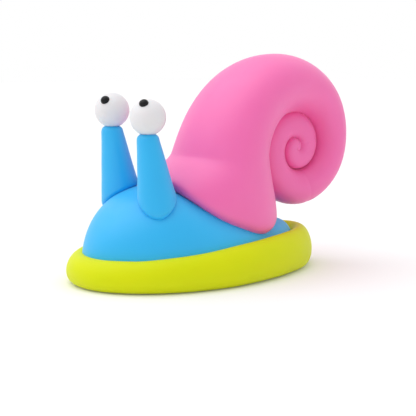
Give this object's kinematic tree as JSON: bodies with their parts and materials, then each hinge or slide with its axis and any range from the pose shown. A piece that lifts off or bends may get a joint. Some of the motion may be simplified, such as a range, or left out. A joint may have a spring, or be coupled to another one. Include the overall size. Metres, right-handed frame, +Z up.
{
  "type": "snail figurine",
  "caption": "Snail figurine of modelling clay: a coiled pink shell on a blue body with two eye stalks, set in a rimmed green foot.",
  "frame": {"origin": "middle of the foot's flat underside", "axes": "+Z up; -X towards the head, +X towards the tail and the shell's overhang; -Y is the snail's left side, +Y its right"},
  "size_m": [0.0874, 0.0474, 0.0596],
  "materials": {
    "green_clay": "matte, smooth, hand-rolled",
    "blue_clay": "matte, smooth, hand-rolled",
    "pink_clay": "matte, smooth, hand-rolled",
    "white_clay": "matte, smooth",
    "black_clay": "satin"
  },
  "bodies": {
    "root": {"foot": "green_clay", "body": "blue_clay", "shell": "pink_clay", "left_eye_stalk": "blue_clay", "right_eye_stalk": "blue_clay", "left_eyeball": "white_clay", "right_eyeball": "white_clay", "left_pupil": "black_clay", "right_pupil": "black_clay"}
  },
  "joints": []
}
